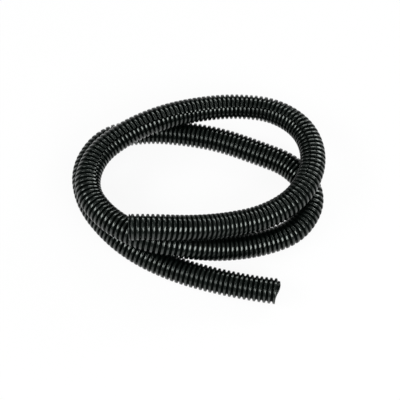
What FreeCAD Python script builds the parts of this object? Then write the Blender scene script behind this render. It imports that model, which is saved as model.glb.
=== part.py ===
import FreeCAD, Part
import math
import os

V = FreeCAD.Vector
UP = V(0, 0, 1)

# Corrugated split conduit: one moulded tube of thin plastic, cut square at both
# ends and slit along its whole length, lying as a loose coil of some 2.4 turns.
# Millimetres and degrees. The origin is on the floor, under the coil's middle.

# Driving dimensions, one cell of the sheet each
SIZES = (
    ("outer_diameter", 18.5, "across the crests of the corrugation"),
    ("groove_depth", 1.6, "from the crests down to the roots, outside"),
    ("wall", 0.45, "thickness of the moulded wall, the same everywhere"),
    ("pitch", 3.45, "from one corrugation to the next, along the axis"),
    ("crest_width", 1.25, "flat of a crest, along the axis"),
    ("root_width", 0.8, "flat of a root, along the axis"),
    ("slit_gap", 0.5, "gap between the two edges of the lengthwise slit"),
    ("end_cuff", 0.3, "plain root left at each cut end, along the axis"),
)

# The axis of the tube from its upper cut end to its lower one: across, along and
# up, where up counts from the axis of a stretch that lies on the floor. Each
# corner is rounded off by an arc, so the tube passes just inside it.
ROUTE = (
    (-47.5, -43.3, 38.5), (-32, -43.3, 38.9), (-4.5, -40.8, 32), (22.5, -33, 22.5),
    (49.5, -23.5, 19), (73.5, -6.5, 19.7), (85.5, 21.5, 19), (79.5, 50.5, 16.5),
    (58, 70, 13.8), (29, 74.5, 13), (0.5, 70, 15.5), (-26.5, 60, 20),
    (-52, 47, 20), (-75.5, 26.5, 19.5), (-81.5, -2.5, 19), (-64, -27, 19.5),
    (-37.5, -42.5, 19.7), (-9, -45.5, 14.5), (17.5, -42.5, 5), (46.5, -36.5, 0),
    (73, -25, 0), (86, 3.5, 0), (70.5, 29.5, 0), (42.5, 42, 0),
    (17, 52.5, 0), (-12, 58.5, 0), (-40.5, 60.5, 0), (-69.5, 54.5, 0),
    (-85.5, 27.5, 0), (-80.5, -1.5, 0), (-62.5, -26, 0), (-41.5, -43.5, 0),
    (-15, -57, 0), (12.5, -65.5, 0), (41.5, -71.8, 0), (55, -73.5, 0),
)

# How far the slit leans from straight up towards the inside of the coil, at
# even steps along the tube: it wanders, as in any length that was coiled by hand.
SLIT_LEAN = (85, 80, 8, 30, 42, 25, 60, 120, 150, 160, 150, 150, 150, 150, 150)

# Of each corner's shorter run, the part that its arc may use on either side
ARC_SHARE = 0.45


def make_sheet(doc):
    """The spreadsheet of driving dimensions, and its values by name."""
    sheet = doc.addObject("Spreadsheet::Sheet", "Dimensions")
    for row, (name, value, meaning) in enumerate(SIZES, start=1):
        sheet.set(f"A{row}", name)
        sheet.set(f"B{row}", str(value))
        sheet.set(f"C{row}", meaning)
        sheet.setAlias(f"B{row}", name)
    doc.recompute()
    return {name: float(sheet.get(name)) for name, _, _ in SIZES}


# The axis: straight runs joined by tangent arcs

class Run:
    """A straight stretch of the axis."""

    def __init__(self, start, end):
        self.start, self.length = start, (end - start).Length
        self.along = (end - start).normalize()

    def at(self, distance):
        return self.start + self.along * distance, self.along

    def edge(self):
        return Part.LineSegment(self.start, self.start + self.along * self.length).toShape()


class Bend:
    """An arc of the axis that leaves start along the given direction."""

    def __init__(self, start, along, aside, radius, angle):
        self.start, self.along, self.aside = start, along, aside
        self.radius, self.angle, self.length = radius, angle, radius * angle

    def at(self, distance):
        turned = distance / self.radius
        sine, cosine = math.sin(turned), math.cos(turned)
        point = self.start + (self.along * sine + self.aside * (1 - cosine)) * self.radius
        return point, self.along * cosine + self.aside * sine

    def edge(self):
        middle, end = self.at(self.length / 2)[0], self.at(self.length)[0]
        return Part.Arc(self.start, middle, end).toShape()


def axis_of(corners):
    """The runs and bends of the axis, in order."""
    parts, start = [], corners[0]
    for before, corner, after in zip(corners, corners[1:], corners[2:]):
        arriving, leaving = corner - before, after - corner
        shorter = min(arriving.Length, leaving.Length)
        along = arriving.normalize()
        turn = along.getAngle(leaving)
        radius = ARC_SHARE * shorter / math.tan(turn / 2)
        first = corner - along * (ARC_SHARE * shorter)
        aside = (leaving.normalize() - along * math.cos(turn)).normalize()
        parts.append(Run(start, first))
        parts.append(Bend(first, along, aside, radius, turn))
        start = parts[-1].at(parts[-1].length)[0]
    parts.append(Run(start, corners[-1]))
    return parts


def place_on(parts, distance):
    """The point and direction of the axis at a distance from its first end."""
    for part in parts[:-1]:
        if distance <= part.length:
            return part.at(distance)
        distance -= part.length
    return parts[-1].at(distance)


# The wall: one closed C-shaped ring after another, ruled together

def lean_at(share):
    """The slit's lean, in radians, at a share of the tube's length."""
    place = min(max(share, 0.0), 1.0) * (len(SLIT_LEAN) - 1)
    step = min(int(place), len(SLIT_LEAN) - 2)
    low, high = SLIT_LEAN[step], SLIT_LEAN[step + 1]
    return math.radians(low + (high - low) * (place - step))


def half_ring(parts, distance, total, radius, slit_gap):
    """One arc round the axis, open at the slit, from edge to edge."""
    point, along = place_on(parts, distance)
    upward = (UP - along * along.z).normalize()
    outward = along.cross(upward)
    opening = math.asin(slit_gap / 2 / radius)
    lean = -lean_at(distance / total)

    def at(angle):
        return point + (upward * math.cos(angle) + outward * math.sin(angle)) * radius

    return at(lean + opening), at(lean + math.pi), at(lean - opening)


def ring(parts, total, outside, inside, slit_gap):
    """A closed wire: the outer arc, the inner arc and the slit's two edges.
    outside and inside are each a distance along the axis and a radius."""
    first, middle, last = half_ring(parts, outside[0], total, outside[1], slit_gap)
    inner_first, inner_middle, inner_last = half_ring(parts, inside[0], total, inside[1], slit_gap)
    return Part.Wire([
        Part.Arc(first, middle, last).toShape(),
        Part.LineSegment(last, inner_last).toShape(),
        Part.Arc(inner_last, inner_middle, inner_first).toShape(),
        Part.LineSegment(inner_first, first).toShape(),
    ])


def wave_stations(size):
    """One corrugation from root to root, from its own start: for each of its
    four corners, where the outer and the inner face turn and at what radius."""
    crest = size["outer_diameter"] / 2
    root = crest - size["groove_depth"]
    flank = (size["pitch"] - size["crest_width"] - size["root_width"]) / 2
    slope = math.atan2(size["groove_depth"], flank)
    shift = size["wall"] * math.tan(slope / 2)
    rise = size["root_width"] / 2
    fall = size["pitch"] - rise
    return (
        ((rise, root), (rise + shift, root - size["wall"])),
        ((rise + flank, crest), (rise + flank + shift, crest - size["wall"])),
        ((fall - flank, crest), (fall - flank - shift, crest - size["wall"])),
        ((fall, root), (fall - shift, root - size["wall"])),
    )


def conduit_shape(parts, size):
    """The whole wall as one solid, and the number of its corrugations."""
    total = sum(part.length for part in parts)
    waved = total - 2 * size["end_cuff"]
    count = round(waved / size["pitch"])
    root = size["outer_diameter"] / 2 - size["groove_depth"]
    bore = root - size["wall"]
    gap = size["slit_gap"]
    wires = [ring(parts, total, (0, root), (0, bore), gap)]
    for number in range(count):
        begin = size["end_cuff"] + number * waved / count
        for (outer_at, outer), (inner_at, inner) in wave_stations(size):
            wires.append(ring(parts, total, (begin + outer_at, outer), (begin + inner_at, inner), gap))
    wires.append(ring(parts, total, (total, root), (total, bore), gap))
    return Part.makeLoft(wires, True, True), count


def wall_volume(size, count, total):
    """Section times length, for comparison with the finished solid."""
    crest = size["outer_diameter"] / 2
    root = crest - size["groove_depth"]
    wall = size["wall"]
    flank = (size["pitch"] - size["crest_width"] - size["root_width"]) / 2
    shift = wall * math.tan(math.atan2(size["groove_depth"], flank) / 2)

    def wave(crest_width, root_width, high, low):
        """Volume inside one turned face of one corrugation."""
        flanks = 2 * flank * (high ** 2 + high * low + low ** 2) / 3
        return math.pi * (crest_width * high ** 2 + flanks + root_width * low ** 2)

    outer = wave(size["crest_width"], size["root_width"], crest, root)
    inner = wave(size["crest_width"] - 2 * shift, size["root_width"] + 2 * shift, crest - wall, root - wall)
    plain = math.pi * (root ** 2 - (root - wall) ** 2) * (total - count * size["pitch"])
    slit_share = size["slit_gap"] / (math.pi * (crest + root - wall))
    return ((outer - inner) * count + plain) * (1 - slit_share)


def check(doc):
    """Stop if any object of the document failed."""
    for item in doc.Objects:
        for bad in ("Invalid", "Error"):
            if bad in item.State:
                raise RuntimeError(f"{item.Label} is {bad}")


def main():
    doc = FreeCAD.newDocument("corrugated_conduit")
    size = make_sheet(doc)
    floor_level = V(0, 0, size["outer_diameter"] / 2)
    parts = axis_of([V(*corner) + floor_level for corner in ROUTE])
    total = sum(part.length for part in parts)

    axis = doc.addObject("Part::Feature", "axis")
    axis.Label = "axis"
    axis.Shape = Part.Wire([part.edge() for part in parts])

    conduit = doc.addObject("Part::Feature", "conduit")
    conduit.Label = "conduit"
    conduit.Shape, count = conduit_shape(parts, size)
    conduit.Placement = FreeCAD.Placement()

    doc.recompute()
    check(doc)
    shape = conduit.Shape
    if shape.isNull() or not shape.isValid() or len(shape.Solids) != 1:
        raise RuntimeError("the conduit isn't one valid solid")
    radii = [part.radius for part in parts if isinstance(part, Bend)]
    print("axis length", round(total, 1), "mm,", count, "corrugations")
    print("bend radii", ", ".join(f"{radius:.0f}" for radius in radii), "mm")
    print("volume", round(shape.Volume), "mm3, section times length", round(wall_volume(size, count, total)))
    box = shape.BoundBox
    print("box x", round(box.XMin, 2), round(box.XMax, 2), "y", round(box.YMin, 2), round(box.YMax, 2),
          "z", round(box.ZMin, 2), round(box.ZMax, 2))

    os.makedirs("parts", exist_ok=True)
    shape.exportStep("parts/conduit.step")


main()
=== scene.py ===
import math

import bpy
import numpy as np
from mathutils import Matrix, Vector


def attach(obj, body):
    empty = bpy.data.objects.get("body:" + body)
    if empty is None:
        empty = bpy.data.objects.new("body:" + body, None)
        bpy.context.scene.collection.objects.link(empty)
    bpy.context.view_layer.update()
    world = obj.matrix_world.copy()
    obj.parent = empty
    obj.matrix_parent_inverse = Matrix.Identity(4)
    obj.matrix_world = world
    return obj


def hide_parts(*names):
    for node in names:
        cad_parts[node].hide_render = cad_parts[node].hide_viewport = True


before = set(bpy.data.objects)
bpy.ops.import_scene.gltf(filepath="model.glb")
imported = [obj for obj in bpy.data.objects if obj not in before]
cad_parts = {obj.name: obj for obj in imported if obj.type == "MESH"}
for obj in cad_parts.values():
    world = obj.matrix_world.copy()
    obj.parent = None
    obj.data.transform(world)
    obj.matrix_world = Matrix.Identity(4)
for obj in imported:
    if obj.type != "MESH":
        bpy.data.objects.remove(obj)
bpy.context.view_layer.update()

# A length of split corrugated conduit in glossy black plastic, lying in a loose coil.
# Metres and degrees, in the frame of the CAD model.

# The tube
OUTER_RADIUS = 0.00925
GROOVE_DEPTH = 0.0016
WALL = 0.00045
PITCH = 0.00345
SLIT_GAP = 0.0005
FULL_TURN = 2 * math.pi

# One corrugation, from root to root: share of the pitch, share of the groove's depth
# above the root, and how far the surface there leans along the tube, for its shading.
# The outer face has the rounded crest, the inner face less detail.
OUTER_WAVE = (
    (0.1, 0.0, -52), (0.24, 0.68, -62), (0.295, 0.96, -34), (0.335, 1.0, -9),
    (0.665, 1.0, 9), (0.705, 0.96, 34), (0.76, 0.68, 62), (0.9, 0.0, 52),
)
INNER_WAVE = ((0.16, 0.0, -30), (0.36, 1.0, -30), (0.64, 1.0, 30), (0.84, 0.0, 30))

# The sides of a ring. The cut faces need two outer sides to each inner one.
OUTER_SIDES = 32
INNER_SIDES = 16

# The edges of the slit, face by face: the first and last point of each face on the
# outer wave and on the inner one, which has fewer
SLIT_FACES = (((0, 3), (0, 1)), ((3, 4), (1, 2)), ((4, 7), (2, 3)), ((7, 8), (3, 4)))

# The route of the axis: across, along, and up from the axis of a stretch on the floor
ROUTE = (
    (-0.0475, -0.0433, 0.0385), (-0.032, -0.0433, 0.0389), (-0.0045, -0.0408, 0.032),
    (0.0225, -0.033, 0.0225), (0.0495, -0.0242, 0.019), (0.0735, -0.0073, 0.0197),
    (0.0855, 0.0215, 0.019), (0.0795, 0.0505, 0.0165), (0.058, 0.07, 0.0138),
    (0.029, 0.0745, 0.013), (0.0005, 0.07, 0.0155), (-0.0265, 0.06, 0.02),
    (-0.052, 0.047, 0.02), (-0.0755, 0.0265, 0.0195), (-0.0815, -0.0025, 0.019),
    (-0.064, -0.027, 0.0195), (-0.0375, -0.0425, 0.0197), (-0.009, -0.0455, 0.0145),
    (0.0175, -0.0425, 0.005), (0.0465, -0.0359, 0.0), (0.073, -0.0244, 0.0),
    (0.086, 0.0035, 0.0), (0.0705, 0.0295, 0.0), (0.0425, 0.042, 0.0),
    (0.017, 0.0525, 0.0), (-0.012, 0.0585, 0.0), (-0.0405, 0.0605, 0.0),
    (-0.0695, 0.0545, 0.0), (-0.0855, 0.0275, 0.0), (-0.0805, -0.0015, 0.0),
    (-0.0625, -0.026, 0.0), (-0.0415, -0.0435, 0.0), (-0.015, -0.057, 0.0),
    (0.0125, -0.0655, 0.0), (0.0415, -0.0718, 0.0), (0.055, -0.0735, 0.0),
)
POINTS_PER_STRETCH = 40
SAME_POINT = 1e-7

# The slit, at even steps along the tube: how far it leans from straight up towards the
# coil's inside, and how far its two sides have slipped past each other, in pitches
SLIT_LEAN = (85, 80, 8, 30, 42, 25, 60, 120, 150, 160, 150, 150, 150, 150, 150)
SLIT_SLIP = (0.1, 0.1, 0.2, 0.3, 0.5, 0.5, 0.4, 0.3, 0.2, 0.1, 0.2, 0.3, 0.2, 0.1, 0.1)

# The cut ends. The corrugations start a share of a pitch past the upper cut, which runs
# through a crest and so leaves a short rim at full height. The lower cut is a little
# askew: the top of its face stands out. What lies past a cut is drawn back to it, down
# to a small share.
FIRST_SHARE = 0.25
UPPER_RIM = 0.0007
LOWER_LIP = 0.0026
LOWER_LIP_NARROWNESS = 3
PAST_CUT = 0.001

# The plastic: black, and a little greenish, in darker and paler blotches, from glossy to
# satin. The specular level is turned down in the grooves as painted shade and rises towards
# the crests, starting at a share of the groove's depth. The fine grain is a slight bump.
REFRACTION = 1.5
SHINE_TINT = (0.91, 1, 0.94, 1)
DARK_BLACK = (0.0009, 0.0017, 0.0014, 1)
PALE_BLACK = (0.0034, 0.0048, 0.0042, 1)
BLOTCH_SCALE = 60
BLOTCH_DETAIL = 3
BLOTCH_RANGE = (0.3, 0.75)
ROUGHNESS_RANGE = (0.1, 0.26)
# The grooves' specular level, turned down as painted shade
GROOVE_SHINE_AS_PAINTED_SHADE = 0.03
CREST_SHINE = 0.75
SHINE_STARTS = 0.88
GRAIN_SCALE = 900
GRAIN_DETAIL = 2
GRAIN_STRENGTH = 0.1
GRAIN_DEPTH = 0.00004

# The photo's camera
CAMERA_TARGET = (0.0014, -0.0024, 0.0144)
CAMERA_ELEVATION = 60
CAMERA_DISTANCE = 1.0064
VIEW_WIDTH = 0.2902
SENSOR_WIDTH = 36

# The studio: the floor's half width and paint, how much of the floor that the camera
# sees is shaded paint rather than plain white, and the room's even light
FLOOR_REACH = 4
FLOOR_PAINT = (0.8, 0.8, 0.8, 1)
FLOOR_SHADE = 0.08
PLAIN_WHITE = (1, 1, 1, 1)
ROOM_COLOUR = (0.94, 1, 0.98, 1)
ROOM_LIGHT = 0.23

# The soft lamps, each with its name, azimuth (0 in front, 90 to the right), elevation,
# distance, width, height and brightness
LAMPS = (
    ("right_lamp", 36, 38, 1.3, 0.95, 0.6, 7),
    ("left_lamp", -78, 40, 1.3, 1.0, 0.4, 7),
    ("front_lamp", -22, 48, 1.3, 0.8, 0.45, 2),
    ("back_right_lamp", 128, 20, 1.3, 0.75, 0.55, 5.6),
    ("back_lamp", 172, 44, 1.3, 0.8, 0.26, 4.6),
)


# The tube's axis

def route_points():
    """Close points along the smooth spline that the route controls."""
    curve = bpy.data.curves.new("route", "CURVE")
    curve.dimensions = "3D"
    spline = curve.splines.new("NURBS")
    spline.points.add(len(ROUTE) - 1)
    for point, (x, y, up) in zip(spline.points, ROUTE):
        point.co = (x, y, up + OUTER_RADIUS, 1)
    spline.order_u = 3
    spline.use_endpoint_u = True
    spline.resolution_u = POINTS_PER_STRETCH
    holder = bpy.data.objects.new("route", curve)
    line = bpy.data.meshes.new_from_object(holder)
    points = np.empty(len(line.vertices) * 3)
    line.vertices.foreach_get("co", points)
    bpy.data.objects.remove(holder)
    bpy.data.curves.remove(curve)
    bpy.data.meshes.remove(line)
    return points.reshape(-1, 3)


class Axis:
    """The tube's axis by distance from its upper end."""

    def __init__(self, points):
        steps = np.linalg.norm(np.diff(points, axis=0), axis=1)
        kept = np.concatenate(([True], steps > SAME_POINT))
        self.points = points[kept]
        steps = np.linalg.norm(np.diff(self.points, axis=0), axis=1)
        self.distances = np.concatenate(([0], np.cumsum(steps)))
        self.length = self.distances[-1]
        self.along = np.gradient(self.points, self.distances, axis=0)

    def blend(self, values, distance):
        """Rows of values between the axis points, at an array of distances."""
        columns = [np.interp(distance, self.distances, column) for column in values.T]
        return np.stack(columns, axis=-1)

    def frames(self, distance):
        """Point and along, upward and outward directions at an array of distances."""
        inside = np.clip(distance, 0, self.length)
        point = self.blend(self.points, inside)
        along = self.blend(self.along, inside)
        along /= np.linalg.norm(along, axis=-1, keepdims=True)
        point += along * (distance - inside)[..., None]
        upward = np.array((0, 0, 1)) - along * along[..., 2:]
        upward /= np.linalg.norm(upward, axis=-1, keepdims=True)
        return point, along, upward, np.cross(along, upward)


# The wall of the tube

def along_list(values, share):
    """A list's value at a share of the tube's length."""
    return np.interp(share, np.linspace(0, 1, len(values)), values)


def cut_off(place, end):
    """Distances along the axis, those past either cut end drawn back to the cut."""
    place = np.where(place < 0, place * PAST_CUT, place)
    return np.where(place > end, end + (place - end) * PAST_CUT, place)


def skin(axis, wave, sides, root_radius, crest_radius):
    """One face of the wall as rows of points round the tube, with the direction that
    the surface faces at each point, away from the axis, and each row's height. The height also
    sets the specular level, and the rows past the cuts, which make the cut faces, get the
    crests' full level: a painted highlight along the cut ends."""
    count = round(axis.length / PITCH)
    shares, heights, leans = np.array(wave).T
    start = np.arange(-1, count + 1)[:, None] + FIRST_SHARE
    distance = ((start + shares) * axis.length / count).ravel()
    height = np.tile(heights, count + 2)
    lean_along = np.radians(np.tile(leans, count + 2))[:, None, None]
    rim = (distance >= 0) & (distance < UPPER_RIM)
    height[rim] = 1
    lean_along[rim] = 0

    share = distance / axis.length
    opening = np.arcsin(SLIT_GAP / 2 / root_radius)
    lean = -np.radians(along_list(SLIT_LEAN, share))
    turn = np.arange(sides + 1) / sides
    angle = (lean + opening)[:, None] + (FULL_TURN - 2 * opening) * turn
    slip = along_list(SLIT_SLIP, share)[:, None] * PITCH * (turn - 0.5)
    lip = LOWER_LIP * np.clip(np.cos(angle), 0, 1) ** LOWER_LIP_NARROWNESS
    place = cut_off(distance[:, None] + slip, axis.length + lip)
    risen = np.interp(place - slip, distance, height)
    radius = root_radius + (crest_radius - root_radius) * risen
    point, along, upward, outward = axis.frames(place)
    radial = upward * np.cos(angle)[..., None] + outward * np.sin(angle)[..., None]
    facing_out = radial * np.cos(lean_along) + along * np.sin(lean_along)
    # The rows past the cuts, which make the cut faces, get the crests' full specular level: a painted
    # highlight along the cut ends.
    height[(distance < 0) | (distance > axis.length)] = 1
    return point + radial * radius[..., None], facing_out, height


def quads(number):
    """Four-sided faces between neighbouring rows of point numbers."""
    corners = (number[:-1, :-1], number[:-1, 1:], number[1:, 1:], number[1:, :-1])
    return np.stack([corner.ravel() for corner in corners], axis=-1).tolist()


def end_faces(outer, inner):
    """The cut face at one end, where the outer row has two sides to each inner one."""
    faces = []
    for step in range(len(inner) - 1):
        outer_run = outer[2 * step:2 * step + 3]
        faces.append([inner[step], inner[step + 1], *outer_run[::-1]])
    return [[int(number) for number in face] for face in faces]


def slit_faces(outer, inner):
    """One edge of the slit, between the outer and the inner wave of each corrugation.
    The last face would lie past the lower cut."""
    faces = []
    for wave in range(len(outer) // len(OUTER_WAVE)):
        outer_wave = outer[wave * len(OUTER_WAVE):]
        inner_wave = inner[wave * len(INNER_WAVE):]
        for (start, end), (inner_start, inner_end) in SLIT_FACES:
            inner_run = inner_wave[inner_start:inner_end + 1]
            faces.append([*outer_wave[start:end + 1], *inner_run[::-1]])
    return [[int(number) for number in face] for face in faces[:-1]]


def set_shading(mesh, normals, flat_from):
    """The smooth faces are shaded by the surface's own directions, point by point, and
    the flat ones, from that face corner on, by their faces."""
    corners = np.empty(len(mesh.loops), int)
    mesh.loops.foreach_get("vertex_index", corners)
    shading = normals[corners]
    shading[flat_from:] = 0
    mesh.normals_split_custom_set(shading.tolist())


def conduit_mesh(axis):
    """The whole wall as one closed mesh: outer face, inner face, cut ends, slit edges."""
    crest = OUTER_RADIUS
    root = OUTER_RADIUS - GROOVE_DEPTH
    outer, outer_normal, outer_height = skin(axis, OUTER_WAVE, OUTER_SIDES, root, crest)
    inner, inner_normal, inner_height = skin(axis, INNER_WAVE, INNER_SIDES, root - WALL, crest - WALL)
    outer_number = np.arange(outer.shape[0] * outer.shape[1]).reshape(outer.shape[:2])
    inner_number = np.arange(inner.shape[0] * inner.shape[1]).reshape(inner.shape[:2])
    inner_number = inner_number + outer_number.size

    smooth = quads(outer_number) + quads(inner_number[:, ::-1])
    flat = end_faces(outer_number[0], inner_number[0])
    flat += [face[::-1] for face in end_faces(outer_number[-1], inner_number[-1])]
    flat += [face[::-1] for face in slit_faces(outer_number[:, 0], inner_number[:, 0])]
    flat += slit_faces(outer_number[:, -1], inner_number[:, -1])

    mesh = bpy.data.meshes.new("conduit_skin")
    points = np.concatenate((outer.reshape(-1, 3), inner.reshape(-1, 3)))
    mesh.from_pydata(points, [], smooth + flat)
    mesh.polygons.foreach_set("use_smooth", [True] * len(smooth) + [False] * len(flat))
    # The height sets the specular level: low in the grooves as painted shade, full at the cut faces
    # as a painted highlight.
    height = np.concatenate((
        np.repeat(outer_height, outer.shape[1]), np.repeat(inner_height, inner.shape[1]),
    ))
    mesh.attributes.new("crest", "FLOAT", "POINT").data.foreach_set("value", height)
    normals = np.concatenate((outer_normal.reshape(-1, 3), -inner_normal.reshape(-1, 3)))
    set_shading(mesh, normals, 4 * len(smooth))
    return mesh


# The plastic

def noise(nodes, links, place, scale, detail):
    """A noise texture's value, read at the given place."""
    texture = nodes.new("ShaderNodeTexNoise")
    texture.inputs["Scale"].default_value = scale
    texture.inputs["Detail"].default_value = detail
    links.new(place, texture.inputs["Vector"])
    return texture.outputs["Fac"]


def ranged(nodes, links, value, low, high, starts=0):
    """A value that goes from low to high as the given one goes from its start to 1."""
    scaled = nodes.new("ShaderNodeMapRange")
    scaled.inputs["From Min"].default_value = starts
    scaled.inputs["To Min"].default_value = low
    scaled.inputs["To Max"].default_value = high
    links.new(value, scaled.inputs["Value"])
    return scaled.outputs["Result"]


def blotched_black(nodes, links, blotch):
    """The plastic's colour, darker and paler by the blotches."""
    colour = nodes.new("ShaderNodeValToRGB")
    stops = colour.color_ramp.elements
    for stop, position, shade in zip(stops, BLOTCH_RANGE, (DARK_BLACK, PALE_BLACK)):
        stop.position = position
        stop.color = shade
    links.new(blotch, colour.inputs["Fac"])
    return colour.outputs["Color"]


def grained(nodes, links, grain):
    """The surface's direction with the fine grain in it."""
    bump = nodes.new("ShaderNodeBump")
    bump.inputs["Strength"].default_value = GRAIN_STRENGTH
    bump.inputs["Distance"].default_value = GRAIN_DEPTH
    links.new(grain, bump.inputs["Height"])
    return bump.outputs["Normal"]


def plastic():
    """Black moulded plastic, with a slightly uneven skin, its specular level turned down in the
    grooves as painted shade.
    """
    material = bpy.data.materials.new("black_plastic")
    material.use_nodes = True
    nodes, links = material.node_tree.nodes, material.node_tree.links
    shader = nodes["Principled BSDF"]
    shader.inputs["IOR"].default_value = REFRACTION
    shader.inputs["Specular Tint"].default_value = SHINE_TINT

    place = nodes.new("ShaderNodeTexCoord").outputs["Object"]
    blotch = noise(nodes, links, place, BLOTCH_SCALE, BLOTCH_DETAIL)
    grain = noise(nodes, links, place, GRAIN_SCALE, GRAIN_DETAIL)
    crest = nodes.new("ShaderNodeAttribute")
    crest.attribute_name = "crest"
    # Specular level by height: turned down in the grooves as painted shade, higher on the crests
    crest_shine_groove_shade = ranged(nodes, links, crest.outputs["Fac"], GROOVE_SHINE_AS_PAINTED_SHADE, CREST_SHINE, SHINE_STARTS)
    roughness = ranged(nodes, links, blotch, *ROUGHNESS_RANGE)

    links.new(crest_shine_groove_shade, shader.inputs["Specular IOR Level"])
    links.new(blotched_black(nodes, links, blotch), shader.inputs["Base Color"])
    links.new(roughness, shader.inputs["Roughness"])
    links.new(grained(nodes, links, grain), shader.inputs["Normal"])
    return material


def add_conduit():
    """The tube, which stands for the plain CAD solid of the same size."""
    axis = Axis(route_points())
    mesh = conduit_mesh(axis)
    mesh.materials.append(plastic())
    piece = bpy.data.objects.new("conduit_tube", mesh)
    bpy.context.scene.collection.objects.link(piece)
    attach(piece, "root")
    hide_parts("conduit")


# The studio

def floor_material():
    """Plain white with a little shaded paint to the camera and in reflections, so that
    the object's shadow shows, and all paint to the rest."""
    material = bpy.data.materials.new("floor_white")
    material.use_nodes = True
    nodes, links = material.node_tree.nodes, material.node_tree.links
    nodes.clear()
    paint = nodes.new("ShaderNodeBsdfDiffuse")
    paint.inputs["Color"].default_value = FLOOR_PAINT
    glow = nodes.new("ShaderNodeEmission")
    shade = nodes.new("ShaderNodeMixShader")
    shade.inputs["Fac"].default_value = FLOOR_SHADE
    path = nodes.new("ShaderNodeLightPath")
    seen = nodes.new("ShaderNodeMath")
    seen.operation = "MAXIMUM"
    mix = nodes.new("ShaderNodeMixShader")
    output = nodes.new("ShaderNodeOutputMaterial")
    links.new(glow.outputs[0], shade.inputs[1])
    links.new(paint.outputs[0], shade.inputs[2])
    links.new(path.outputs["Is Camera Ray"], seen.inputs[0])
    links.new(path.outputs["Is Glossy Ray"], seen.inputs[1])
    links.new(seen.outputs[0], mix.inputs["Fac"])
    links.new(paint.outputs[0], mix.inputs[1])
    links.new(shade.outputs[0], mix.inputs[2])
    links.new(mix.outputs[0], output.inputs["Surface"])
    return material


def add_floor():
    """A plain level floor, wide enough to fill the view."""
    near, far = -FLOOR_REACH, FLOOR_REACH
    corners = [(near, near, 0), (far, near, 0), (far, far, 0), (near, far, 0)]
    mesh = bpy.data.meshes.new("floor")
    mesh.from_pydata(corners, [], [(0, 1, 2, 3)])
    mesh.materials.append(floor_material())
    floor = bpy.data.objects.new("floor", mesh)
    bpy.context.scene.collection.objects.link(floor)


def add_world():
    """White to the camera, and a dim even room otherwise."""
    world = bpy.data.worlds.new("studio")
    bpy.context.scene.world = world
    world.use_nodes = True
    nodes, links = world.node_tree.nodes, world.node_tree.links
    nodes.clear()
    room = nodes.new("ShaderNodeBackground")
    room.inputs["Color"].default_value = ROOM_COLOUR
    room.inputs["Strength"].default_value = ROOM_LIGHT
    white = nodes.new("ShaderNodeBackground")
    white.inputs["Color"].default_value = PLAIN_WHITE
    path = nodes.new("ShaderNodeLightPath")
    mix = nodes.new("ShaderNodeMixShader")
    output = nodes.new("ShaderNodeOutputWorld")
    links.new(path.outputs["Is Camera Ray"], mix.inputs["Fac"])
    links.new(room.outputs[0], mix.inputs[1])
    links.new(white.outputs[0], mix.inputs[2])
    links.new(mix.outputs[0], output.inputs["Surface"])


def from_target(azimuth, elevation, distance):
    """A place at a distance from the view's middle, by its direction. Azimuth 0 is in
    front, 180 behind."""
    across, up = math.radians(azimuth), math.radians(elevation)
    level = distance * math.cos(up)
    aside = Vector((level * math.sin(across), -level * math.cos(across), distance * math.sin(up)))
    return Vector(CAMERA_TARGET) + aside


def facing(place):
    """The rotation that points a camera or lamp at the view's middle."""
    return (Vector(CAMERA_TARGET) - place).to_track_quat("-Z", "Y").to_euler()


def add_softbox(name, azimuth, elevation, distance, width, height, brightness):
    """A soft rectangular lamp that faces the coil. Its power grows with its area."""
    lamp = bpy.data.lights.new(name, "AREA")
    lamp.shape = "RECTANGLE"
    lamp.size = width
    lamp.size_y = height
    lamp.energy = brightness * math.pi * width * height
    holder = bpy.data.objects.new(name, lamp)
    holder.location = from_target(azimuth, elevation, distance)
    holder.rotation_euler = facing(holder.location)
    bpy.context.scene.collection.objects.link(holder)


def add_camera():
    """The photo's view, from in front and well above."""
    camera = bpy.data.cameras.new("camera")
    camera.sensor_width = SENSOR_WIDTH
    camera.lens = SENSOR_WIDTH * CAMERA_DISTANCE / VIEW_WIDTH
    holder = bpy.data.objects.new("camera", camera)
    holder.location = from_target(0, CAMERA_ELEVATION, CAMERA_DISTANCE)
    holder.rotation_euler = facing(holder.location)
    bpy.context.scene.collection.objects.link(holder)
    bpy.context.scene.camera = holder


add_conduit()
add_floor()
add_world()
for lamp in LAMPS:
    add_softbox(*lamp)
add_camera()
bpy.context.scene.view_settings.view_transform = "Standard"
